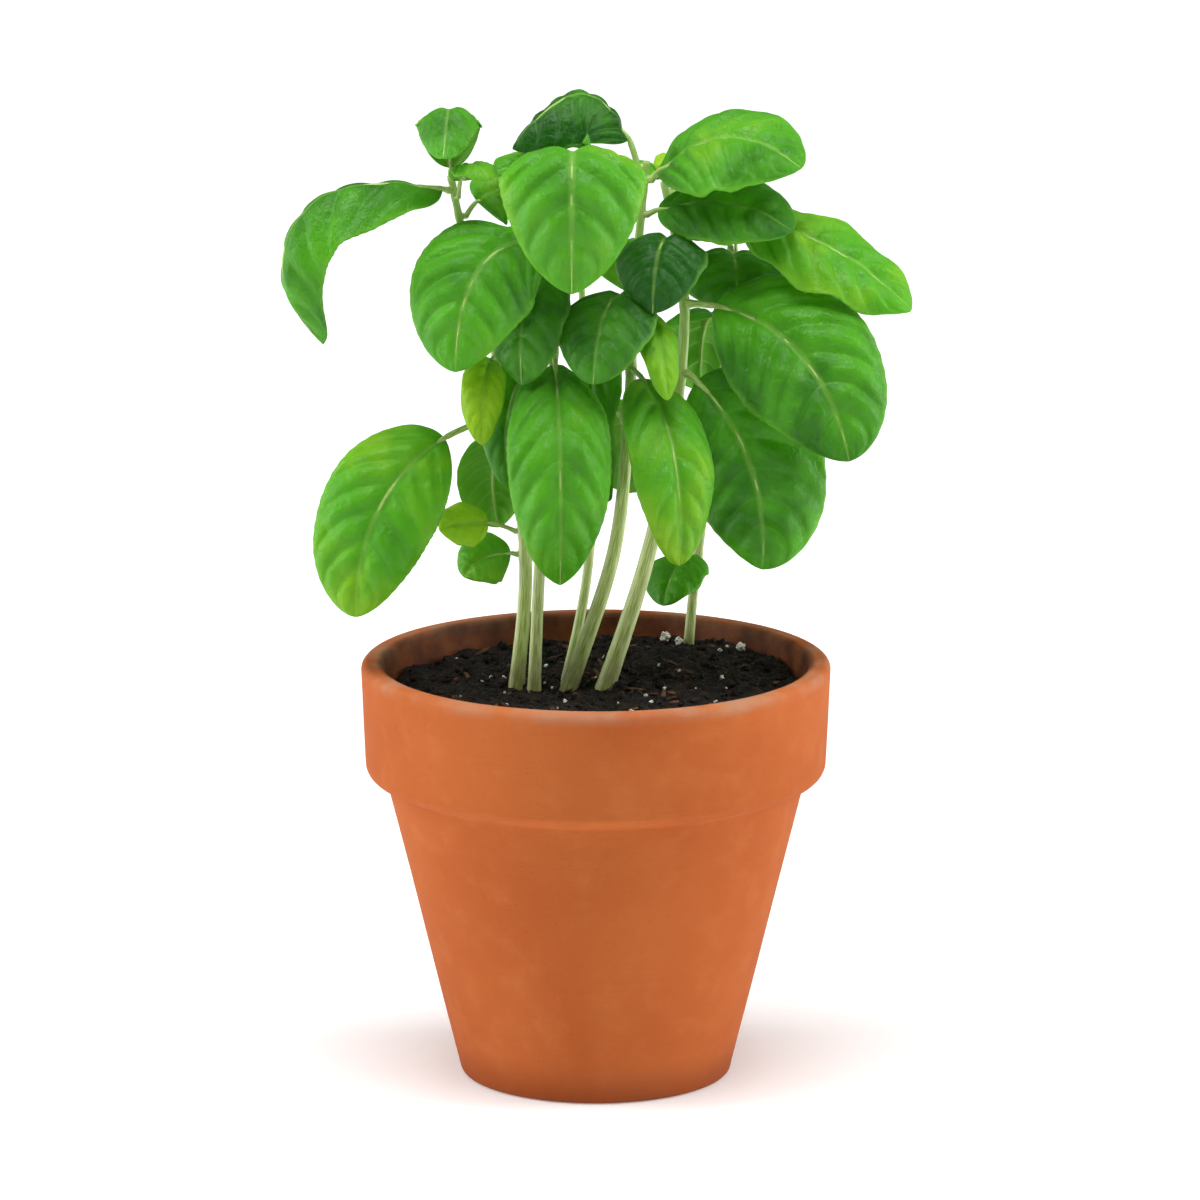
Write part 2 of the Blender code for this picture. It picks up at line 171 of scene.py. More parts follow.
LEAVES = (
    # Upper left
    Leaf("leaf_far_left", "stem_left", 305, (-92, -8, 255), 38, 0.52, 0, -35, 20, 2, 1.0, tone=0.28),
    Leaf("leaf_top_left", "stem_left", 309, (-51, -16, 320), 26, 0.8, 0, -10, 40, 4, young=True, tone=0.4),
    Leaf("leaf_top_left_low", "stem_left", 303, (-36, -12, 312), 18, 0.35, 0, 0, 40, 6, young=True, tone=0.4),
    Leaf("leaf_top_left_inner", "stem_left", 296, (-27, 11, 305), 26, 0.15, 45, 10, 50, 6, tone=0.45),
    Leaf("leaf_upper_left", "stem_mid_left", 300, (-34, 3, 312), 24, 0.22, -30, 10, 50, 6, tone=0.5),
    # Left
    Leaf("leaf_left_low", "stem_left", 227, (-81, -26, 165), 42, 0.22, -50, 12, 45, 24, tone=0.57),
    Leaf("leaf_left_round", "stem_mid_left", 285, (-47, -30, 250), 46, 0.33, -35, 0, 40, 10, tone=0.42),
    Leaf("leaf_left_young", "stem_left", 248, (-38, -20, 223), 17, 0.3, -20, 12, 60, 6, young=True, tone=1.0),
    Leaf("leaf_left_inner", "stem_left", 222, (-33, 15, 187), 26, 0.2, 30, 12, 50, 5, tone=0.3),
    Leaf("leaf_left_hanging", "stem_mid_left", 254, (-28, -7, 205), 20, 0.22, -30, 12, 50, 6, tone=0.3),
    Leaf("leaf_left_bud", "stem_left", 188, (-53, -4, 190), 18, 0.1, -50, 15, 50, 10, young=True, tone=1.3),
    Leaf("leaf_left_lowest", "stem_left", 180, (-45, 0, 173), 21, 0.15, -50, 12, 50, 2, tone=0.55),
    # Centre
    Leaf("leaf_centre_pale", "stem_mid_left", 306, (-8, -38, 278), 54, 0.62, 0, 0, 40, 8, tone=0.52),
    Leaf("leaf_centre_left", "stem_mid_left", 277, (-25, -18, 243), 30, 0.3, 0, 8, 50, 6, tone=0.25),
    Leaf("leaf_top_dome", "stem_centre", 312, (-28, 2, 320), 42, 0.48, -15, -25, 30, 10, tone=0.1),
    Leaf("leaf_centre_front", "stem_mid_left", 249, (-12, -35, 178), 39, 0.27, 0, 12, 60, 8, tone=0.45),
    Leaf("leaf_centre_shaded", "stem_centre", 260, (4, 5, 198), 25, 0.2, 0, 12, 60, 6, tone=0.25),
    Leaf("leaf_centre_mid", "stem_centre", 266, (-1, -31, 246), 37, 0.3, 0, 8, 50, 8, tone=0.25),
    Leaf("leaf_centre_right", "stem_centre", 243, (28, -32, 184), 32, 0.25, 0, 15, 60, 8, tone=0.58),
    Leaf(
        "leaf_centre_young", "stem_centre", 262, (24, -28, 240), 15, 0.25, 0, 12, 60, 10,
        young=True, tone=0.75,
    ),
    # Right
    Leaf("leaf_top_right", "stem_centre", 308, (69, -7, 315), 50, 0.22, 27, 5, 40, 3, tone=0.44),
    Leaf("leaf_right_shaded", "stem_centre", 296, (66, -9, 294), 35, 0.13, 32, 8, 40, 4, tone=0.25),
    Leaf(
        "leaf_right_long", "stem_right", 295, (106, -6, 266), 40, 0.12, 25, 8, 50, 24, tone=0.55, ruffle=2.2
    ),
    Leaf("leaf_right_dark", "stem_right", 284, (19, -20, 268), 35, 0.36, 0, 5, 50, 6, tone=0.0),
    Leaf("leaf_right_big", "stem_right", 266, (85, -28, 219), 53, 0.2, 50, 10, 50, 10, tone=0.28, ruffle=1.9),
    Leaf("leaf_right_inner", "stem_back_right", 275, (48, 12, 262), 44, 0.35, 0, 8, 50, 6, tone=0.2),
    Leaf("leaf_right_low", "stem_right", 243, (56, -15, 179), 52, 0.15, 65, 10, 50, 4, tone=0.34),
    Leaf("leaf_right_lowest", "stem_back_right", 170, (23, 22, 158), 24, 0.2, 0, 12, 50, 4, tone=0.4),
    # Back
    Leaf("leaf_back_left_top", "stem_back", 278, (-32, 74, 262), 44, 0.3, 0, 8, 50, 10, tone=0.45),
    Leaf("leaf_back_right_top", "stem_back", 271, (20, 78, 254), 42, 0.3, 0, 8, 50, 10, tone=0.5),
    Leaf("leaf_back_left_low", "stem_back", 232, (-28, 66, 190), 42, 0.25, 0, 10, 50, 10, tone=0.35),
    Leaf("leaf_back_right_low", "stem_back", 224, (12, 76, 186), 42, 0.25, 0, 10, 50, 10, tone=0.4),
    Leaf("leaf_back_far_right", "stem_back_right", 272, (74, 68, 250), 42, 0.3, 0, 8, 50, 10, tone=0.42),
    Leaf("leaf_back_middle", "stem_back_right", 252, (36, 80, 222), 40, 0.3, 0, 8, 50, 8, tone=0.3),
    Leaf("leaf_back_low_right", "stem_back_right", 212, (66, 58, 174), 40, 0.25, 0, 10, 50, 8, tone=0.5),
    Leaf("leaf_back_left", "stem_left", 262, (-44, 44, 240), 34, 0.3, 0, 8, 50, 8, tone=0.45),
    Leaf("leaf_back_upper_left", "stem_mid_left", 298, (-33, 44, 298), 34, 0.3, 0, 8, 50, 8, tone=0.5),
    Leaf("leaf_back_top", "stem_centre", 304, (2, 56, 300), 36, 0.15, 0, 8, 50, 8, tone=0.42),
    Leaf("leaf_back_top_right", "stem_right", 301, (56, 62, 300), 38, 0.2, 0, 8, 50, 8, tone=0.55),
    # Buds
    Leaf("bud_left", "stem_back", 282, (-15, 45, 294), 9, 0.15, 0, 15, 60, 4, young=True, tone=0.9),
    Leaf("bud_right", "stem_back_right", 278, (54, 34, 294), 9, 0.15, 0, 15, 60, 4, young=True, tone=0.9),
    Leaf("bud_top", "stem_right", 303, (23, 36, 313), 8, 0.15, 0, 15, 60, 3, young=True, tone=0.9),
)

PERLITE_NODES = ("perlite_1", "perlite_2", "perlite_3", "perlite_4")


# Shapes of the CAD part ------------------------------------------------------------------------


def arc(centre_r, centre_z, radius, start, end, steps=8):
    """Points of a round edge in a turned profile, from angle start to end in degrees."""
    angles = [math.radians(start + (end - start) * i / steps) for i in range(steps + 1)]
    return [(centre_r + radius * math.cos(a), centre_z + radius * math.sin(a)) for a in angles]


def pot_inner_radius(z):
    share = (z - FLOOR_THICKNESS) / (POT_HEIGHT - FLOOR_THICKNESS)
    return FLOOR_RADIUS + (RIM_INNER_RADIUS - FLOOR_RADIUS) * share


def pot_profile():
    """The wall's closed section, down the outside, under the foot, up the drain hole and the inside."""
    lip, band_edge, foot_edge, floor_edge = 2.5 * MM, 5 * MM, 2.5 * MM, 5 * MM
    band_foot_z = POT_HEIGHT - BAND_HEIGHT
    return (
        arc(RIM_RADIUS - lip, POT_HEIGHT - lip, lip, 90, 5)
        + arc(BAND_FOOT_RADIUS - band_edge, band_foot_z + band_edge, band_edge, -5, -80)
        + arc(NECK_RADIUS + 2 * MM, band_foot_z - 2.6 * MM, 2 * MM, 100, 176, 5)
        + arc(FOOT_RADIUS - foot_edge, foot_edge, foot_edge, -14, -90)
        + arc(DRAIN_RADIUS + 1 * MM, 1 * MM, 1 * MM, 270, 180, 3)
        + arc(DRAIN_RADIUS + 1 * MM, FLOOR_THICKNESS - 1 * MM, 1 * MM, 180, 90, 3)
        + [(FLOOR_RADIUS - floor_edge, FLOOR_THICKNESS)]
        + [(FLOOR_RADIUS + 1 * MM, FLOOR_THICKNESS + floor_edge)]
        + arc(RIM_INNER_RADIUS + lip, POT_HEIGHT - lip, lip, 175, 90)
    )


def soil_surface(x, y):
    """Height of the soil's top: a low mound behind the stems, dipping to the wall in front."""
    mound = 5.5 * MM * math.exp(-((x - 25 * MM) ** 2 + (y - 35 * MM) ** 2) / (38 * MM) ** 2)
    ripple = 0.8 * MM * math.sin(x * 140 + 1) * math.cos(y * 120)
    return SOIL_LEVEL + mound + ripple


def catmull_rom(points, share):
    """The point at share 0 to 1 of a smooth curve through points."""
    spans = len(points) - 1
    span = min(int(share * spans), spans - 1)
    t = share * spans - span
    a, b, c, d = (points[min(max(span + k, 0), spans)] for k in (-1, 0, 1, 2))
    return 0.5 * (2 * b + (c - a) * t + (2 * a - 5 * b + 4 * c - d) * t**2 + (3 * b - a - 3 * c + d) * t**3)


def stem_path(stem, steps=STEM_SPANS):
    points = [Vector(p) * MM for p in stem.points]
    return [catmull_rom(points, i / steps) for i in range(steps + 1)]


def stem_radius(stem, z):
    low, top = stem.points[0][2] * MM, stem.points[-1][2] * MM
    share = min(max((z - low) / (top - low), 0), 1)
    return (stem.low_radius + (stem.top_radius - stem.low_radius) * share) * MM


def stem_point(stem, z):
    """Where the stem's centreline is at height z."""
    path = stem_path(stem)
    for low, high in zip(path, path[1:]):
        if low.z <= z <= high.z:
            return low.lerp(high, (z - low.z) / (high.z - low.z))
    return path[-1]


def midrib(leaf):
    """The stem's centre, the midrib's four Bezier points, and where the upper face looks."""
    stem = STEMS[leaf.stem]
    centre, tip = stem_point(stem, leaf.node_z * MM), Vector(leaf.tip) * MM
    outward = Vector((tip.x - centre.x, tip.y - centre.y, 0)).normalized()
    along = (tip - centre).normalized()
    up = (Vector((0, 0, 1)) - along * along.z).normalized()
    turn = math.radians(leaf.turn)
    face = up * math.cos(turn) + along.cross(up) * math.sin(turn)
    bow = up * (leaf.arch * 4 / 3 * (tip - centre).length)
    lean = ((tip - centre) * 0.3 + bow).angle(outward)
    base = centre + outward * (stem_radius(stem, centre.z) + CLEARANCE + CAD_STALK_RADIUS * math.sin(lean))
    return centre, (base, base.lerp(tip, 0.3) + bow, base.lerp(tip, leaf.late) + bow, tip), face


def carried_normals(tangents, start, first):
    """A normal for each tangent, turned as little as possible from the one at index first."""
    normals = [None] * len(tangents)
    for order in (range(first, len(tangents)), range(first, -1, -1)):
        normal = start
        for i in order:
            normal = (normal - tangents[i] * normal.dot(tangents[i])).normalized()
            normals[i] = normal
    return normals


def midrib_frames(leaf):
    """The stem's centre, and the midrib as a list of (distance, place, tangent, upper normal)."""
    centre, (a, b, c, d), face = midrib(leaf)
    places, tangents = [], []
    for i in range(PATH_SAMPLES + 1):
        t = i / PATH_SAMPLES
        places.append(a * (1 - t) ** 3 + b * (3 * t * (1 - t) ** 2) + c * (3 * t * t * (1 - t)) + d * t**3)
        tangents.append(((b - a) * (1 - t) ** 2 + (c - b) * (2 * t * (1 - t)) + (d - c) * t * t).normalized())
    distances = [0]
    for before, after in zip(places, places[1:]):
        distances.append(distances[-1] + (after - before).length)
    normals = carried_normals(tangents, face, PATH_SAMPLES // 2)
    return centre, list(zip(distances, places, tangents, normals))


def frame_at(frames, distance):
    """The midrib's place, tangent and normal at a distance along it."""
    for before, after in zip(frames, frames[1:]):
        if after[0] >= distance or after is frames[-1]:
            share = min(max((distance - before[0]) / (after[0] - before[0]), 0), 1)
            return [before[k].lerp(after[k], share) for k in (1, 2, 3)]


def blade_half_width(share):
    """Outline of an ovate leaf from its base to its tip, as a share of its greatest half width."""
    rise, fall = 0.5, 0.58
    peak = rise / (rise + fall)
    return share**rise * (1 - share) ** fall / (peak**rise * (1 - peak) ** fall)


# Mesh building ---------------------------------------------------------------------------------


def new_shape():
    shape = bmesh.new()
    shape.loops.layers.uv.new("own")
    return shape


def add_face(shape, vertices, uvs, slot):
    face = shape.faces.new(vertices)
    face.material_index = slot
    face.smooth = True
    layer = shape.loops.layers.uv.active
    for loop, uv in zip(face.loops, uvs):
        loop[layer].uv = uv


def loft(shape, rings, slot=0, around=False):
    """Skins rings of points. Around joins the last ring to the first, and otherwise each end is capped.

    The UV runs once round a ring in U, and in V it counts centimetres along.
    """
    made = [[shape.verts.new(p) for p in ring] for ring in rings]
    sides, travelled = len(rings[0]), 0
    pairs = list(zip(made, made[1:])) + ([(made[-1], made[0])] if around else [])
    for low, high in pairs:
        step = (high[0].co - low[0].co).length * 100
        for i in range(sides):
            j, u, v = (i + 1) % sides, i / sides, (i + 1) / sides
            uvs = ((u, travelled), (v, travelled), (v, travelled + step), (u, travelled + step))
            add_face(shape, (low[i], low[j], high[j], high[i]), uvs, slot)
        travelled += step
    if not around:
        for ring, at in ((made[0][::-1], 0), (made[-1], travelled)):
            add_face(shape, ring, [(i / sides, at) for i in range(sides)], slot)


def sweep(shape, path, radius, sides, slot=0):
    """A capped tube along path. radius(i, angle) gives its radius at path point i."""
    tangents = [(b - a).normalized() for a, b in zip(path, path[1:])]
    tangents = [tangents[0]] + [(a + b).normalized() for a, b in zip(tangents, tangents[1:])] + [tangents[-1]]
    normals = carried_normals(tangents, tangents[0].orthogonal(), 0)
    rings = []
    for i, (place, tangent, normal) in enumerate(zip(path, tangents, normals)):
        side = tangent.cross(normal)
        angles = [2 * math.pi * k / sides for k in range(sides)]
        rings.append([place + (normal * math.cos(a) + side * math.sin(a)) * radius(i, a) for a in angles])
    loft(shape, rings, slot)


def add_sheet(shape, points, uvs, thickness, slots):
    """A grid of points as a thin closed sheet: the upper face is slots[0] and the lower slots[1]."""
    rows, columns = len(points), len(points[0])

    def normal(r, c):
        along = points[min(r + 1, rows - 1)][c] - points[max(r - 1, 0)][c]
        across = points[r][min(c + 1, columns - 1)] - points[r][max(c - 1, 0)]
        return across.cross(along).normalized()

    upper = [[shape.verts.new(p) for p in row] for row in points]
    lower = [
        [shape.verts.new(points[r][c] - normal(r, c) * thickness) for c in range(columns)]
        for r in range(rows)
    ]
    for r in range(rows - 1):
        for c in range(columns - 1):
            corners = ((r, c), (r, c + 1), (r + 1, c + 1), (r + 1, c))
            at = [uvs[i][j] for i, j in corners]
            add_face(shape, [upper[i][j] for i, j in corners], at, slots[0])
            add_face(shape, [lower[i][j] for i, j in reversed(corners)], at[::-1], slots[1])
    border = [(0, c) for c in range(columns)] + [(r, columns - 1) for r in range(1, rows)]
    border += [(rows - 1, c) for c in range(columns - 2, -1, -1)] + [(r, 0) for r in range(rows - 2, 0, -1)]
    for (a, b), (c, d) in zip(border, border[1:] + border[:1]):
        at = (uvs[a][b], uvs[a][b], uvs[c][d], uvs[c][d])
        add_face(shape, (upper[a][b], lower[a][b], lower[c][d], upper[c][d]), at, slots[0])


def ball(subdivisions):
    """The points and faces of an icosphere of radius 1."""
    made = bmesh.new()
    bmesh.ops.create_icosphere(made, subdivisions=subdivisions, radius=1)
    made.verts.index_update()
    shape = [v.co.copy() for v in made.verts], [[v.index for v in f.verts] for f in made.faces]
    made.free()
    return shape


def add_lump(shape, template, place, size, turn, roughness, slot=0):
    """A crumb, chip or grain: a ball from ball(), dented by noise, scaled by size and turned."""
    points, faces = template
    matrix = Matrix.LocRotScale(place, Euler(turn), Vector(size))
    made = []
    for point in points:
        dent = noise.noise(point * 1.3 + Vector(turn) * 3) + 0.6 * noise.noise(point * 3.1 + place * 900)
        made.append(shape.verts.new(matrix @ (point * (1 + roughness * dent))))
    for face in faces:
        add_face(shape, [made[i] for i in face], [(0, 0)] * 3, slot)


def add_piece(name, shape, materials, slot, *nodes):
    """A finished piece that rides with the plant and stands for these CAD nodes."""
    mesh = bpy.data.meshes.new(name)
    bmesh.ops.recalc_face_normals(shape, faces=shape.faces)
    shape.to_mesh(mesh)
    shape.free()
    for material in materials:
        mesh.materials.append(material)
    piece = bpy.data.objects.new(name, mesh)
    bpy.context.scene.collection.objects.link(piece)
    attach(piece, "root")
    if nodes:
        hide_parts(*nodes)
    return piece


# Materials -------------------------------------------------------------------------------------


class Surface:
    """A material under construction, with short calls for its nodes."""

    def __init__(self, name, roughness, specular=0.5):
        self.material = bpy.data.materials.new(name)
        self.material.use_nodes = True
        self.tree = self.material.node_tree
        self.shader = self.tree.nodes["Principled BSDF"]
        self.shader.inputs["Roughness"].default_value = roughness
        self.shader.inputs["Specular IOR Level"].default_value = specular
        self.place = self.put("TexCoord", output="Object")

    def put(self, kind, inputs=(), output=0, **settings):
        node = self.tree.nodes.new("ShaderNode" + kind)
        for key, value in settings.items():
            setattr(node, key, value)
        for key, value in dict(inputs).items():
            self.feed(node.inputs[key], value)
        return node.outputs[output]

    def feed(self, socket, value):
        if isinstance(value, bpy.types.NodeSocket):
            self.tree.links.new(value, socket)
        elif isinstance(value, tuple) and socket.type == "RGBA":
            socket.default_value = (*value, 1)
        else:
            socket.default_value = value

    def set(self, name, value):
        self.feed(self.shader.inputs[name], value)

    def math(self, operation, a, b=0.0, clamp=False):
        return self.put("Math", {0: a, 1: b}, operation=operation, use_clamp=clamp)

    def noise(self, scale, detail=2, place=None, distortion=0.0):
        inputs = {"Vector": place or self.place, "Scale": scale, "Detail": detail, "Distortion": distortion}
        return self.put("TexNoise", inputs, output="Fac")

    def ramp(self, value, low, high):
        """0 where value is low, 1 where it is high, and smooth between."""
        inputs = {"Value": value, "From Min": low, "From Max": high}
        return self.put("MapRange", inputs, interpolation_type="SMOOTHSTEP")

    def mix(self, share, a, b):
        return self.put("Mix", {0: share, 6: a, 7: b}, output=2, data_type="RGBA")

    def tint(self, colour, mask, share, target):
        """The colour moved towards target by share, where mask is 1."""
        return self.mix(self.math("MULTIPLY", mask, share), colour, target)

    def bump(self, height, distance, after=None):
        inputs = {"Height": height, "Distance": distance}
        if after:
            inputs["Normal"] = after
        return self.put("Bump", inputs)

    def axis(self, vector, name):
        return self.put("SeparateXYZ", {0: vector}, output=name)

    def own_uv(self):
        return self.put("UVMap", uv_map="own")

    def stretched(self, vector, scale):
        return self.put("VectorMath", {0: vector, 1: scale}, operation="MULTIPLY")


def vein_masks(surface):
    """Node sockets for the midrib, the side veins, and the distance from the midrib, all 0 to 1."""
    uv = surface.own_uv()
    along = surface.axis(uv, "Y")
    centred = surface.math("SUBTRACT", surface.axis(uv, "X"), 0.5)
    across = surface.math("MULTIPLY", surface.math("ABSOLUTE", centred), 2.0)
    wander = surface.math("MULTIPLY", surface.math("SUBTRACT", surface.noise(55, 1), 0.5), 0.04)
    swept = surface.math("MULTIPLY", surface.math("POWER", across, VEIN_BEND), VEIN_SWEEP)
    phase = surface.math("SUBTRACT", surface.math("ADD", along, wander), swept)
    phase = surface.math("FRACT", surface.math("MULTIPLY", phase, VEIN_PAIRS))
    apart = surface.math("ABSOLUTE", surface.math("SUBTRACT", phase, 0.5))
    side_veins = surface.ramp(apart, 0.07, 0.01)
    side_veins = surface.math("MULTIPLY", side_veins, surface.ramp(across, 1.05, 0.35))
    rib = surface.ramp(across, 0.065, 0.015)
    return rib, side_veins, across


def leaf_upper_material():
    """Glossy green, deeper or yellower with the leaf's tone, the deeper greens partly painted shade, paler
    along its veins.
    """
    surface = Surface("leaf_upper", 0.4, 0.32)
    rib, side_veins, across = vein_masks(surface)
    # The object's tone is partly the leaf's own green and partly painted shade; the deep end of the ramp is a
    # shadowed green.
    tone = surface.put("Attribute", output="Fac", attribute_type="OBJECT", attribute_name="tone")
    patches = surface.math("MULTIPLY", surface.math("SUBTRACT", surface.noise(38, 3), 0.5), 1.1)
    tone = surface.math("ADD", tone, patches)
    colour = surface.mix(surface.ramp(tone, 0.0, 0.5), (0.002, 0.060, 0.001), (0.080, 0.36, 0.006))
    colour = surface.mix(surface.ramp(tone, 0.45, 1.0), colour, (0.36, 0.62, 0.010))
    cells = surface.put(
        "TexVoronoi", {"Vector": surface.place, "Scale": 520}, feature="DISTANCE_TO_EDGE", output="Distance"
    )
    net = surface.ramp(cells, 0.12, 0.0)
    colour = surface.tint(colour, net, 0.06, (0.22, 0.60, 0.06))
    colour = surface.tint(colour, side_veins, 0.12, (0.20, 0.55, 0.08))
    colour = surface.tint(colour, rib, 0.28, (0.42, 0.72, 0.14))
    # Painted highlight: a paler yellow-green band along every blade's edge, where the rim catches the light.
    colour = surface.tint(colour, surface.ramp(across, 0.88, 1.0), 0.35, (0.26, 0.66, 0.05))
    surface.set("Base Color", colour)
    gloss = surface.math("ADD", surface.math("MULTIPLY", surface.noise(140, 3), 0.3), 0.24)
    surface.set("Roughness", surface.math("ADD", gloss, surface.math("MULTIPLY", rib, 0.12)))
    creases = surface.math("ADD", net, surface.math("MULTIPLY", side_veins, 0.8))
    fine = surface.math("SUBTRACT", surface.noise(900, 3), surface.math("MULTIPLY", creases, 0.5))
    puckers = surface.bump(surface.noise(210, 2), 1.1 * MM)
    surface.set("Normal", surface.bump(fine, 0.14 * MM, puckers))
    surface.set("Sheen Weight", 0.05)
    return translucent(surface, (0.34, 0.80, 0.02))


def leaf_under_material():
    """The paler, matt underside, with its veins standing up."""
    surface = Surface("leaf_under", 0.62, 0.35)
    rib, side_veins, _ = vein_masks(surface)
    # The tone darkens the underside too, partly as painted shade.
    tone = surface.put("Attribute", output="Fac", attribute_type="OBJECT", attribute_name="tone")
    tone = surface.math("ADD", tone, surface.math("MULTIPLY", surface.noise(60, 2), 0.3))
    colour = surface.mix(surface.ramp(tone, 0.1, 1.3), (0.09, 0.36, 0.03), (0.42, 0.70, 0.07))
    veins = surface.math("MAXIMUM", rib, surface.math("MULTIPLY", side_veins, 0.7))
    colour = surface.tint(colour, veins, 0.6, (0.46, 0.70, 0.24))
    surface.set("Base Color", colour)
    relief = surface.math("ADD", surface.noise(700, 3), surface.math("MULTIPLY", veins, 1.6))
    surface.set("Normal", surface.bump(relief, 0.16 * MM))
    return translucent(surface, (0.36, 0.80, 0.03))


def translucent(surface, colour):
    """The finished material, with light of this colour coming through the thin blade."""
    tree = surface.tree
    glow = surface.put("BsdfTranslucent", {"Color": colour})
    both = surface.put("MixShader", {0: LIGHT_THROUGH, 1: surface.shader.outputs[0], 2: glow})
    tree.links.new(both, tree.nodes["Material Output"].inputs["Surface"])
    return surface.material


def stem_material():
    """Pale ridged stems with fine lengthwise fibres, greener upwards and browner at the soil."""
    surface = Surface("stem_skin", 0.42)
    uv = surface.own_uv()
    fibres = surface.noise(1, 3, surface.stretched(uv, (46, 1.3, 1)))
    turn = surface.math("MULTIPLY", surface.axis(uv, "X"), 8 * math.pi)
    corner = surface.ramp(surface.math("COSINE", turn), -0.4, 1.0)
    height = surface.axis(surface.place, "Z")
    colour = surface.mix(surface.ramp(fibres, 0.3, 0.7), (0.30, 0.42, 0.05), (0.70, 0.82, 0.32))
    colour = surface.tint(colour, corner, 0.40, (0.86, 0.92, 0.58))
    greener = surface.math("MULTIPLY", surface.ramp(height, 0.19, 0.29), 0.6)
    colour = surface.mix(greener, colour, (0.22, 0.50, 0.04))
    browner = surface.math("MULTIPLY", surface.ramp(height, 0.149, 0.137), surface.noise(170, 2))
    colour = surface.mix(browner, colour, (0.16, 0.10, 0.045))
    surface.set("Base Color", colour)
    surface.set("Roughness", surface.math("ADD", surface.math("MULTIPLY", fibres, 0.25), 0.28))
    surface.set("Normal", surface.bump(fibres, 0.35 * MM))
    surface.set("Subsurface Weight", 0.12)
    surface.set("Subsurface Radius", (0.8 * MM, 1.2 * MM, 0.4 * MM))
    surface.set("Subsurface Scale", 1.0)
    return surface.material


def stalk_material():
    """Leaf stalks and the raised midribs under the blades: pale green, faintly fibrous."""
    surface = Surface("stalk", 0.4)
    fibres = surface.noise(1, 2, surface.stretched(surface.own_uv(), (18, 2.5, 1)))
    colour = surface.mix(surface.ramp(fibres, 0.3, 0.7), (0.22, 0.40, 0.05), (0.50, 0.66, 0.22))
    blush = surface.math("MULTIPLY", surface.ramp(surface.noise(38, 1), 0.56, 0.72), 0.45)
    surface.set("Base Color", surface.mix(blush, colour, (0.17, 0.10, 0.05)))
    surface.set("Normal", surface.bump(fibres, 0.15 * MM))
    return surface.material


def terracotta_material():
    """Fired clay: mottled orange, a damp inside darkened further as painted shade, mineral bloom on the lip
    and foot, painted shade darkening the foot, fine grain.
    """
    surface = Surface("terracotta_clay", 0.82, 0.18)
    height = surface.axis(surface.place, "Z")
    flat = surface.stretched(surface.place, (1, 1, 0))
    radius = surface.put("VectorMath", {0: flat}, output="Value", operation="LENGTH")
    slope = (RIM_INNER_RADIUS - FLOOR_RADIUS) / (POT_HEIGHT - FLOOR_THICKNESS)
    at_base = FLOOR_RADIUS - slope * FLOOR_THICKNESS
    inner = surface.math("ADD", surface.math("MULTIPLY", height, slope), at_base)
    depth = surface.math("SUBTRACT", radius, inner)

    clouds = surface.noise(16, 4, distortion=0.6)
    colour = surface.mix(surface.ramp(clouds, 0.32, 0.68), (0.415, 0.095, 0.020), (0.46, 0.115, 0.026))
    small = surface.noise(95, 4)
    colour = surface.tint(colour, surface.ramp(small, 0.45, 0.75), 0.22, (0.56, 0.180, 0.055))
    streaks = surface.noise(1, 3, surface.stretched(surface.place, (30, 30, 420)))
    colour = surface.tint(colour, surface.ramp(streaks, 0.5, 0.8), 0.16, (0.36, 0.10, 0.032))
    specks = surface.ramp(surface.noise(1250, 1), 0.70, 0.78)
    colour = surface.tint(colour, specks, 0.4, (0.22, 0.07, 0.03))

    at_lip = surface.ramp(height, POT_HEIGHT - 5 * MM, POT_HEIGHT - 1 * MM)
    at_foot = surface.ramp(height, 16 * MM, 1 * MM)
    bloom = surface.math("MAXIMUM", at_lip, surface.math("MULTIPLY", at_foot, 0.2))
    bloom = surface.math("MULTIPLY", bloom, surface.ramp(surface.noise(60, 4), 0.3, 0.75))
    colour = surface.tint(colour, bloom, 0.75, (0.42, 0.22, 0.13))
    # The inside is darkened partly as damp clay and partly as painted shade in the pot's mouth; the damp also
    # lowers the roughness.
    uneven_depth = surface.math("ADD", depth, surface.math("MULTIPLY", small, 2 * MM))
    damp_and_shade = surface.ramp(uneven_depth, 4.5 * MM, 0.5 * MM)
    wet = surface.mix(surface.ramp(small, 0.35, 0.7), (0.022, 0.007, 0.003), (0.085, 0.027, 0.013))
    colour = surface.tint(colour, damp_and_shade, 0.9, wet)
    # Painted shade: the clay is darkened towards the foot, where the floor's light doesn't reach.
    colour = surface.tint(colour, at_foot, 0.6, (0.24, 0.045, 0.006))
    surface.set("Base Color", colour)
    surface.set("Roughness", surface.math("SUBTRACT", 0.86, surface.math("MULTIPLY", damp_and_shade, 0.3)))

    grain = surface.math("ADD", surface.noise(2100, 3), surface.math("MULTIPLY", surface.noise(420, 3), 1.4))
    grain = surface.math("SUBTRACT", grain, surface.math("MULTIPLY", specks, 0.8))
    turning = surface.noise(1, 2, surface.stretched(surface.place, (5, 5, 700)))
    grained = surface.bump(grain, 0.10 * MM)
    surface.set("Normal", surface.bump(turning, 0.12 * MM, grained))
    return surface.material


def soil_material(name, dark, light, wet_share):
    surface = Surface(name, 0.8, 0.25)
    clods = surface.noise(240, 5)
    surface.set("Base Color", surface.mix(surface.ramp(clods, 0.35, 0.7), dark, light))
    wet = surface.math("MULTIPLY", surface.ramp(surface.noise(420, 2), 0.5, 0.66), wet_share)
    surface.set("Roughness", surface.math("SUBTRACT", 0.92, wet))
    surface.set("Normal", surface.bump(surface.noise(900, 5), 0.7 * MM))
    return surface.material


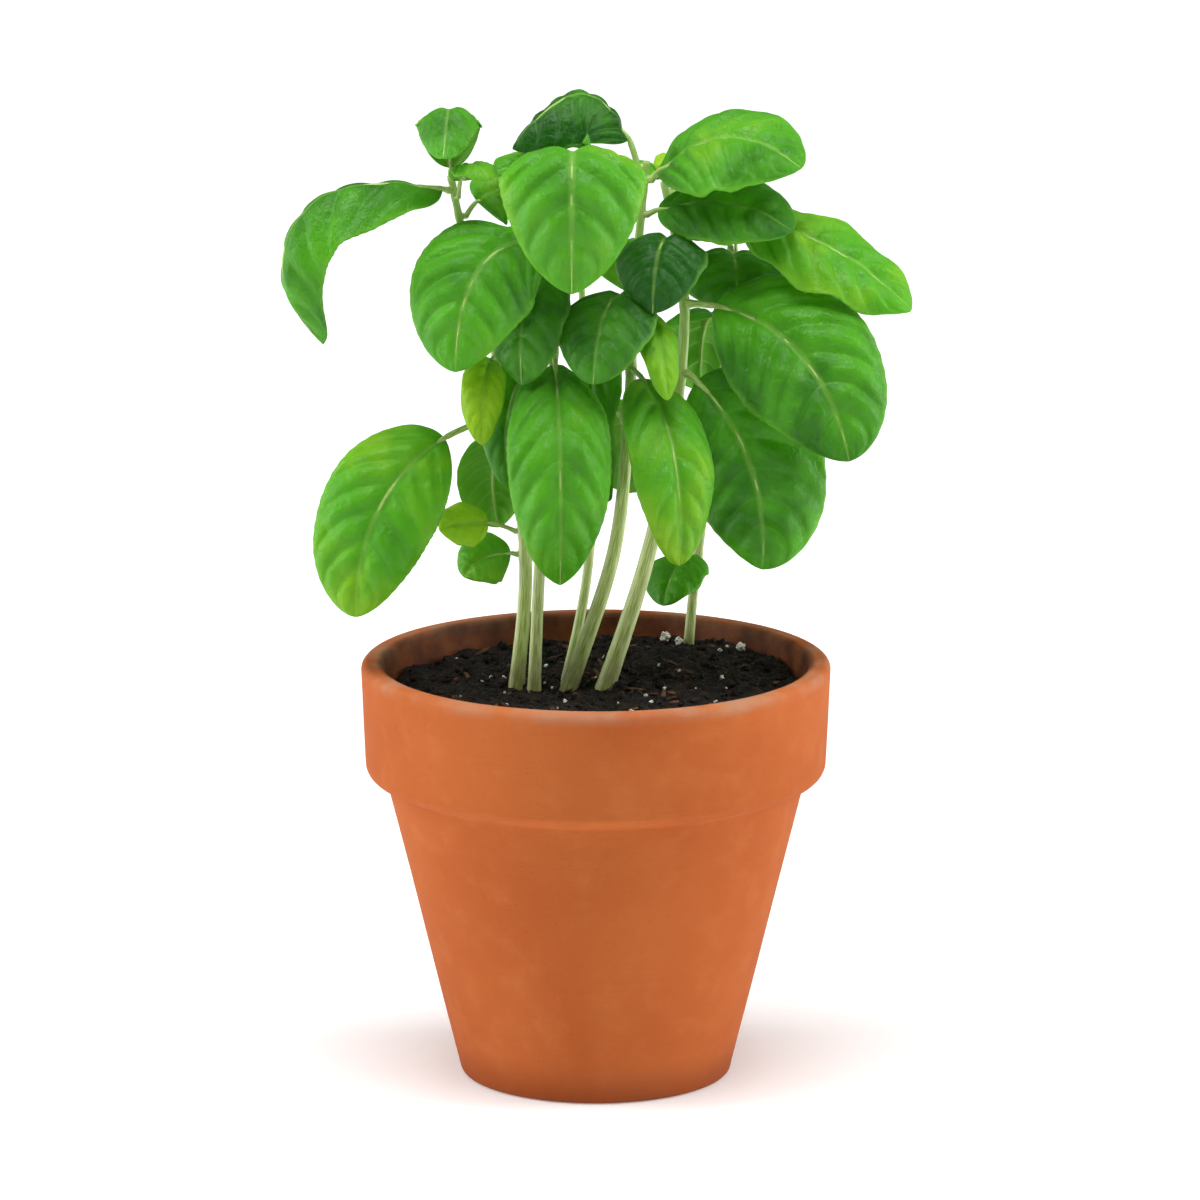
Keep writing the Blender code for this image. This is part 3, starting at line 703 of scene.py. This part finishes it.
def perlite_material():
    """White porous grains, stained by the soil in their pits."""
    surface = Surface("perlite_grain", 0.85, 0.3)
    pits = surface.noise(1400, 3)
    colour = surface.mix(surface.ramp(pits, 0.34, 0.55), (0.30, 0.24, 0.18), (0.86, 0.83, 0.77))
    stain = surface.math("MULTIPLY", surface.ramp(surface.noise(300, 2), 0.5, 0.75), 0.5)
    surface.set("Base Color", surface.mix(stain, colour, (0.28, 0.20, 0.14)))
    surface.set("Normal", surface.bump(pits, 0.3 * MM))
    return surface.material


def floor_material():
    """White, and glowing more with distance so that it stays white outside the lamps' reach."""
    surface = Surface("studio_floor", 0.9, 0.1)
    shade = surface.mix(surface.noise(3, 2), (0.90, 0.90, 0.90), (0.93, 0.93, 0.92))
    surface.set("Base Color", shade)
    away = surface.put("VectorMath", {0: surface.place}, output="Value", operation="LENGTH")
    surface.set("Emission Color", (1.0, 1.0, 1.0))
    far = surface.math("MULTIPLY", surface.ramp(away, 0.2, 1.3), 0.65)
    surface.set("Emission Strength", surface.math("ADD", far, 0.2))
    return surface.material


# Pieces ----------------------------------------------------------------------------------------


def even_steps(profile, longest):
    """The closed profile with points added so that no step is over longest."""
    points = []
    for (r, z), (next_r, next_z) in zip(profile, profile[1:] + profile[:1]):
        steps = max(math.ceil(math.hypot(next_r - r, next_z - z) / longest), 1)
        points += [(r + (next_r - r) * i / steps, z + (next_z - z) * i / steps) for i in range(steps)]
    return points


def add_pot(materials):
    """The turned pot, a touch uneven as pressed clay is, and flat where it stands."""
    shape = new_shape()
    rings = []
    for r, z in even_steps(pot_profile(), POT_PITCH):
        ring = []
        for k in range(POT_SIDES):
            angle = 2 * math.pi * k / POT_SIDES
            out = Vector((math.cos(angle), math.sin(angle), 0))
            uneven = noise.noise(out * 1.6 + Vector((0, 0, z * 22))) * 0.28 * MM
            settle = min(z / (4 * MM), 1)
            ring.append(out * (r + uneven * settle) + Vector((0, 0, z)))
        rings.append(ring)
    loft(shape, rings, around=True)
    return add_piece("pot_clay", shape, [materials["terracotta"]], "terracotta", "pot")


def crumbled(x, y):
    """The soil's top with its clods and grains."""
    place = Vector((x, y, 0))
    clods = noise.fractal(place * 75, 1.0, 2.0, 3) * 1.5 * MM
    grains = noise.voronoi(place * 260)[0][0] * -1.7 * MM
    fine = noise.noise(place * 700) * 0.5 * MM
    return soil_surface(x, y) + clods + grains + fine + 0.6 * MM


def scattered(count, seed, reach):
    """count seeded places on the soil inside radius reach, each with its own random source."""
    source = random.Random(seed)
    for _ in range(count):
        r, angle = reach * math.sqrt(source.random()), source.uniform(0, 2 * math.pi)
        x, y = r * math.cos(angle), r * math.sin(angle)
        turn = [source.uniform(0, 2 * math.pi) for _ in range(3)]
        yield source, Vector((x, y, crumbled(x, y))), turn


def add_soil(materials):
    """A crumbled surface over a plain body, with loose crumbs and bark fibres on it."""
    shape = new_shape()
    bottom = FLOOR_THICKNESS + SOIL_SHOULDER
    edge = pot_inner_radius(SOIL_LEVEL) - SOIL_CLEARANCE
    foot = pot_inner_radius(bottom) - SOIL_CLEARANCE
    directions = [
        (math.cos(2 * math.pi * k / SOIL_SIDES), math.sin(2 * math.pi * k / SOIL_SIDES))
        for k in range(SOIL_SIDES)
    ]
    rings = []
    for i in range(SOIL_RINGS + 1):
        r = edge * max(i / SOIL_RINGS, 0.002)
        rings.append([Vector((r * c, r * s, crumbled(r * c, r * s))) for c, s in directions])
    for r, z in ((foot, bottom), (foot - 7 * MM, FLOOR_THICKNESS + 0.3 * MM)):
        rings.append([Vector((r * c, r * s, z)) for c, s in directions])
    loft(shape, rings)
    crumb, chip = ball(2), ball(3)
    for source, place, turn in scattered(CRUMBS, CRUMB_SEED, edge - 3 * MM):
        size = source.uniform(0.7, 1.9) * MM * source.uniform(0.6, 1.3)
        add_lump(shape, crumb, place, (size, size * source.uniform(0.6, 1), size * 0.7), turn, 0.7)
    for source, place, turn in scattered(FIBRES, FIBRE_SEED, edge - 6 * MM):
        size = source.uniform(1.6, 4.2) * MM
        flat = (turn[0] * 0.06, turn[1] * 0.06, turn[2])
        add_lump(shape, chip, place + Vector((0, 0, 0.4 * MM)), (size, 0.8 * MM, 0.5 * MM), flat, 0.5, 1)
    return add_piece("soil_bed", shape, [materials["soil"], materials["bark"]], "soil", "soil")


def add_perlite(materials):
    """The four large grains where the CAD has them, and a scatter of fines."""
    for number, node in enumerate(PERLITE_NODES):
        low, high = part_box(node)
        place, size = (low + high) / 2, (high.x - low.x) / 2
        shape = new_shape()
        sizes = (size * 1.02, size * 0.86, size * 0.92)
        add_lump(shape, ball(5), place - Vector((0, 0, size * 0.3)), sizes, (number, 2 * number, 0.4), 0.5)
        add_piece(f"{node}_grain", shape, [materials["perlite"]], "perlite", node)
    shape, grain = new_shape(), ball(3)
    for source, place, turn in scattered(PERLITE_FINES, FINES_SEED, FINES_REACH):
        size = source.uniform(0.3, 0.9) * MM
        add_lump(shape, grain, place + Vector((0, 0, size * 0.3)), (size, size * 0.8, size * 0.7), turn, 0.7)
    add_piece("perlite_fines", shape, [materials["perlite"]], "perlite")


def blade_rows(leaf, frames):
    """(share, place, side, normal, half width) at each row of the blade, closer at its two ends."""
    stalk, whole = leaf.stalk * MM, frames[-1][0]
    rows = max(round((whole - stalk) / BLADE_PITCH), 14)
    least = stalk_radius(leaf) * 0.8
    made = []
    for i in range(rows + 1):
        even = i / rows
        share = 0.4 * even + 0.3 * (1 - math.cos(math.pi * even))
        place, tangent, normal = frame_at(frames, stalk + (whole - stalk) * share)
        outline = leaf.width / 2 * MM * blade_half_width(share)
        teeth = 1 + TEETH * math.sin(share * whole / MM * 1.25) * (share > 0.15)
        half_width = max(outline * teeth, least + (TIP_HALF_WIDTH - least) * share)
        made.append((share, place, tangent.cross(normal), normal, half_width))
    return made


def stalk_radius(leaf):
    return (0.5 + 0.013 * leaf.width) * MM


def vein_distance(across, along):
    """0 on a side vein and 1 midway between two."""
    phase = (along - VEIN_SWEEP * across**VEIN_BEND) * VEIN_PAIRS
    return abs(phase % 1 - 0.5) * 2


def relief(leaf, seed, across, along, half_width):
    """How far the blade stands above its plain curved surface: pads between veins, a groove along
    the midrib, a waved edge and a little unevenness."""
    reach = abs(across)
    pads = 1 - math.exp(-((vein_distance(reach, along) / 0.42) ** 2))
    inside = min(reach * 5, 1) * (1 - reach**6) * min((1 - along) * 4, 1) * min(along * 6, 1)
    quilting = QUILTING * min(leaf.width / 45, 1.1) * pads * inside
    groove = -GROOVE_DEPTH * math.exp(-((reach * half_width / (1.3 * MM)) ** 2)) * (1 - along) ** 0.5
    beat = 2 * math.pi * (2.6 * along + (0.4 if across > 0 else 0) + seed * 0.37)
    wave = leaf.ruffle * MM * reach**3 * math.sin(beat) * math.sin(math.pi * along) ** 0.5
    place = Vector((across * half_width, along * leaf.width * MM * 1.3, 0)) + Vector((0, 0, seed))
    uneven = noise.noise(place * 70) * UNEVENNESS + noise.noise(place * 190) * CRINKLE
    return quilting + groove + wave + uneven * min(leaf.width / 40, 1)


def add_blade(shape, leaf, seed, rows):
    columns = max(2 * round(leaf.width * MM / BLADE_PITCH / 2), 12)
    fold, curl = math.radians(leaf.fold), math.radians(leaf.curl)
    points, uvs = [], []
    for share, place, side, normal, half_width in rows:
        line = []
        for c in range(columns + 1):
            across = 2 * c / columns - 1
            lifted = fold - curl * abs(across)
            sideways = (math.sin(fold) - math.sin(lifted)) / curl * half_width
            height = (math.cos(lifted) - math.cos(fold)) / curl * half_width
            height += relief(leaf, seed, across, share, half_width) * min(half_width / (4 * MM), 1)
            line.append(place + side * math.copysign(sideways, across) + normal * height)
        points.append(line)
        uvs.append([(c / columns, share) for c in range(columns + 1)])
    add_sheet(shape, points, uvs, BLADE_THICKNESS, (0, 1))


def add_stalk(shape, leaf, centre, frames, rows):
    """The stalk, from inside the stem, and the rib that it becomes under the blade."""
    thick = stalk_radius(leaf)
    count = max(round(leaf.stalk / 1.2), 4)
    path = [centre, centre.lerp(frames[0][1], 0.6)]
    radii = [thick * 1.3, thick * 1.3]
    for i in range(count):
        place, _, _ = frame_at(frames, leaf.stalk * MM * i / count)
        path.append(place)
        radii.append(thick * (1 + 0.3 * math.exp(-i)))
    for share, place, _, normal, half_width in rows[::2]:
        radius = max(thick * (1 - share) ** 0.8, 0.16 * MM)
        sunk = min(share * 12, 1)
        path.append(place - normal * (sunk * (radius * 0.95 + 0.75 * MM * (1 - share) ** 0.5)))
        radii.append(min(radius, half_width))
    sweep(shape, path, lambda i, angle: radii[i], STALK_SIDES, 2)


def add_leaf(leaf, seed, materials):
    centre, frames = midrib_frames(leaf)
    rows = blade_rows(leaf, frames)
    shape = new_shape()
    add_blade(shape, leaf, seed, rows)
    add_stalk(shape, leaf, centre, frames, rows)
    looks = [materials["upper"], materials["under"], materials["stalk"]]
    slot = "young_leaf" if leaf.young else "leaf"
    piece = add_piece(leaf.name + "_blade", shape, looks, slot, leaf.name)
    # The tone is partly the leaf's own green and partly painted shade.
    piece["tone"] = leaf.tone


def add_stem(name, stem, materials):
    """A four-cornered stem, swollen where leaves leave it, with its root end in the soil."""
    nodes = [leaf.node_z * MM for leaf in LEAVES if leaf.stem == name]
    start = Vector(stem.points[0]) * MM
    along = (stem_point(stem, start.z + 12 * MM) - start).normalized()
    path = [start - along * ROOTING_DEPTH * share for share in (1, 0.6, 0.3)] + stem_path(stem)

    def radius(i, angle):
        z = path[i].z
        swelling = sum(math.exp(-(((z - node) / (1.8 * MM)) ** 2)) for node in nodes)
        flare = math.exp(-max(z - start.z, 0) / (5 * MM))
        ridged = 1 + RIDGE * math.cos(4 * angle) + 0.02 * math.cos(12 * angle)
        return stem_radius(stem, z) * ridged * (1 + 0.16 * min(swelling, 1) + 0.12 * flare) * 0.97

    shape = new_shape()
    sweep(shape, path, radius, STEM_SIDES)
    add_piece(name + "_skin", shape, [materials["stem"]], "stem", name)


# Studio ----------------------------------------------------------------------------------------


def add_light(name, place, target, size, power):
    light = bpy.data.lights.new(name, "AREA")
    light.shape = "RECTANGLE"
    light.size, light.size_y = size
    light.energy = power
    lamp = bpy.data.objects.new(name, light)
    lamp.location = place
    lamp.rotation_euler = (Vector(target) - Vector(place)).to_track_quat("-Z", "Y").to_euler()
    bpy.context.scene.collection.objects.link(lamp)


def add_stage_piece(name, shape, material):
    mesh = bpy.data.meshes.new(name)
    shape.to_mesh(mesh)
    shape.free()
    mesh.materials.append(material)
    piece = bpy.data.objects.new(name, mesh)
    bpy.context.scene.collection.objects.link(piece)
    return piece


def add_backdrop():
    """A white surround that only the camera sees, so that it doesn't flatten the light."""
    shape = bmesh.new()
    bmesh.ops.create_uvsphere(shape, u_segments=48, v_segments=24, radius=BACKDROP_RADIUS)
    white = bpy.data.materials.new("white_surround")
    white.use_nodes = True
    shader = white.node_tree.nodes["Principled BSDF"]
    shader.inputs["Base Color"].default_value = (0, 0, 0, 1)
    shader.inputs["Emission Color"].default_value = (1, 1, 1, 1)
    shader.inputs["Emission Strength"].default_value = 1
    dome = add_stage_piece("backdrop", shape, white)
    dome.visible_diffuse = False
    dome.visible_glossy = False
    dome.visible_transmission = False
    dome.visible_shadow = False


def add_studio():
    """A pale floor, a white surround, and a tall softbox on each side with one overhead."""
    add_backdrop()
    shape = bmesh.new()
    bmesh.ops.create_grid(shape, x_segments=2, y_segments=2, size=FLOOR_HALF_SIZE)
    add_stage_piece("studio_floor", shape, floor_material())

    add_light("softbox_left", (-1.1, -0.02, 0.55), MIDDLE, (0.6, 1.1), SIDE_POWER)
    add_light("softbox_right", (1.1, -0.02, 0.50), MIDDLE, (0.6, 1.1), SIDE_POWER)
    add_light("softbox_top", (0.0, -0.25, 1.3), MIDDLE, (0.8, 0.8), TOP_POWER)

    world = bpy.data.worlds.new("surround")
    world.use_nodes = True
    sky = world.node_tree.nodes["Background"]
    sky.inputs["Color"].default_value = (1.0, 1.0, 1.0, 1)
    sky.inputs["Strength"].default_value = SKY_STRENGTH
    bpy.context.scene.world = world
    bpy.context.scene.view_settings.view_transform = "Standard"


def add_camera():
    """Looks along +Y and a little down, as the photograph does."""
    elevation, target = math.radians(CAMERA_ELEVATION), Vector(CAMERA_TARGET)
    back = Vector((0, -math.cos(elevation), math.sin(elevation)))
    data = bpy.data.cameras.new("camera")
    data.sensor_width, data.lens = SENSOR_WIDTH, LENS
    camera = bpy.data.objects.new("camera", data)
    camera.location = target + back * CAMERA_DISTANCE
    camera.rotation_euler = (-back).to_track_quat("-Z", "Y").to_euler()
    bpy.context.scene.collection.objects.link(camera)
    bpy.context.scene.camera = camera


def main():
    materials = {
        "terracotta": terracotta_material(),
        "soil": soil_material("potting_soil", (0.002, 0.0011, 0.0008), (0.017, 0.009, 0.005), 0.55),
        "bark": soil_material("bark_fibre", (0.05, 0.022, 0.012), (0.16, 0.075, 0.035), 0.3),
        "perlite": perlite_material(),
        "stem": stem_material(),
        "stalk": stalk_material(),
        "upper": leaf_upper_material(),
        "under": leaf_under_material(),
    }
    add_pot(materials)
    add_soil(materials)
    add_perlite(materials)
    for name, stem in STEMS.items():
        add_stem(name, stem, materials)
    for seed, leaf in enumerate(LEAVES):
        add_leaf(leaf, seed, materials)
    add_studio()
    add_camera()


main()
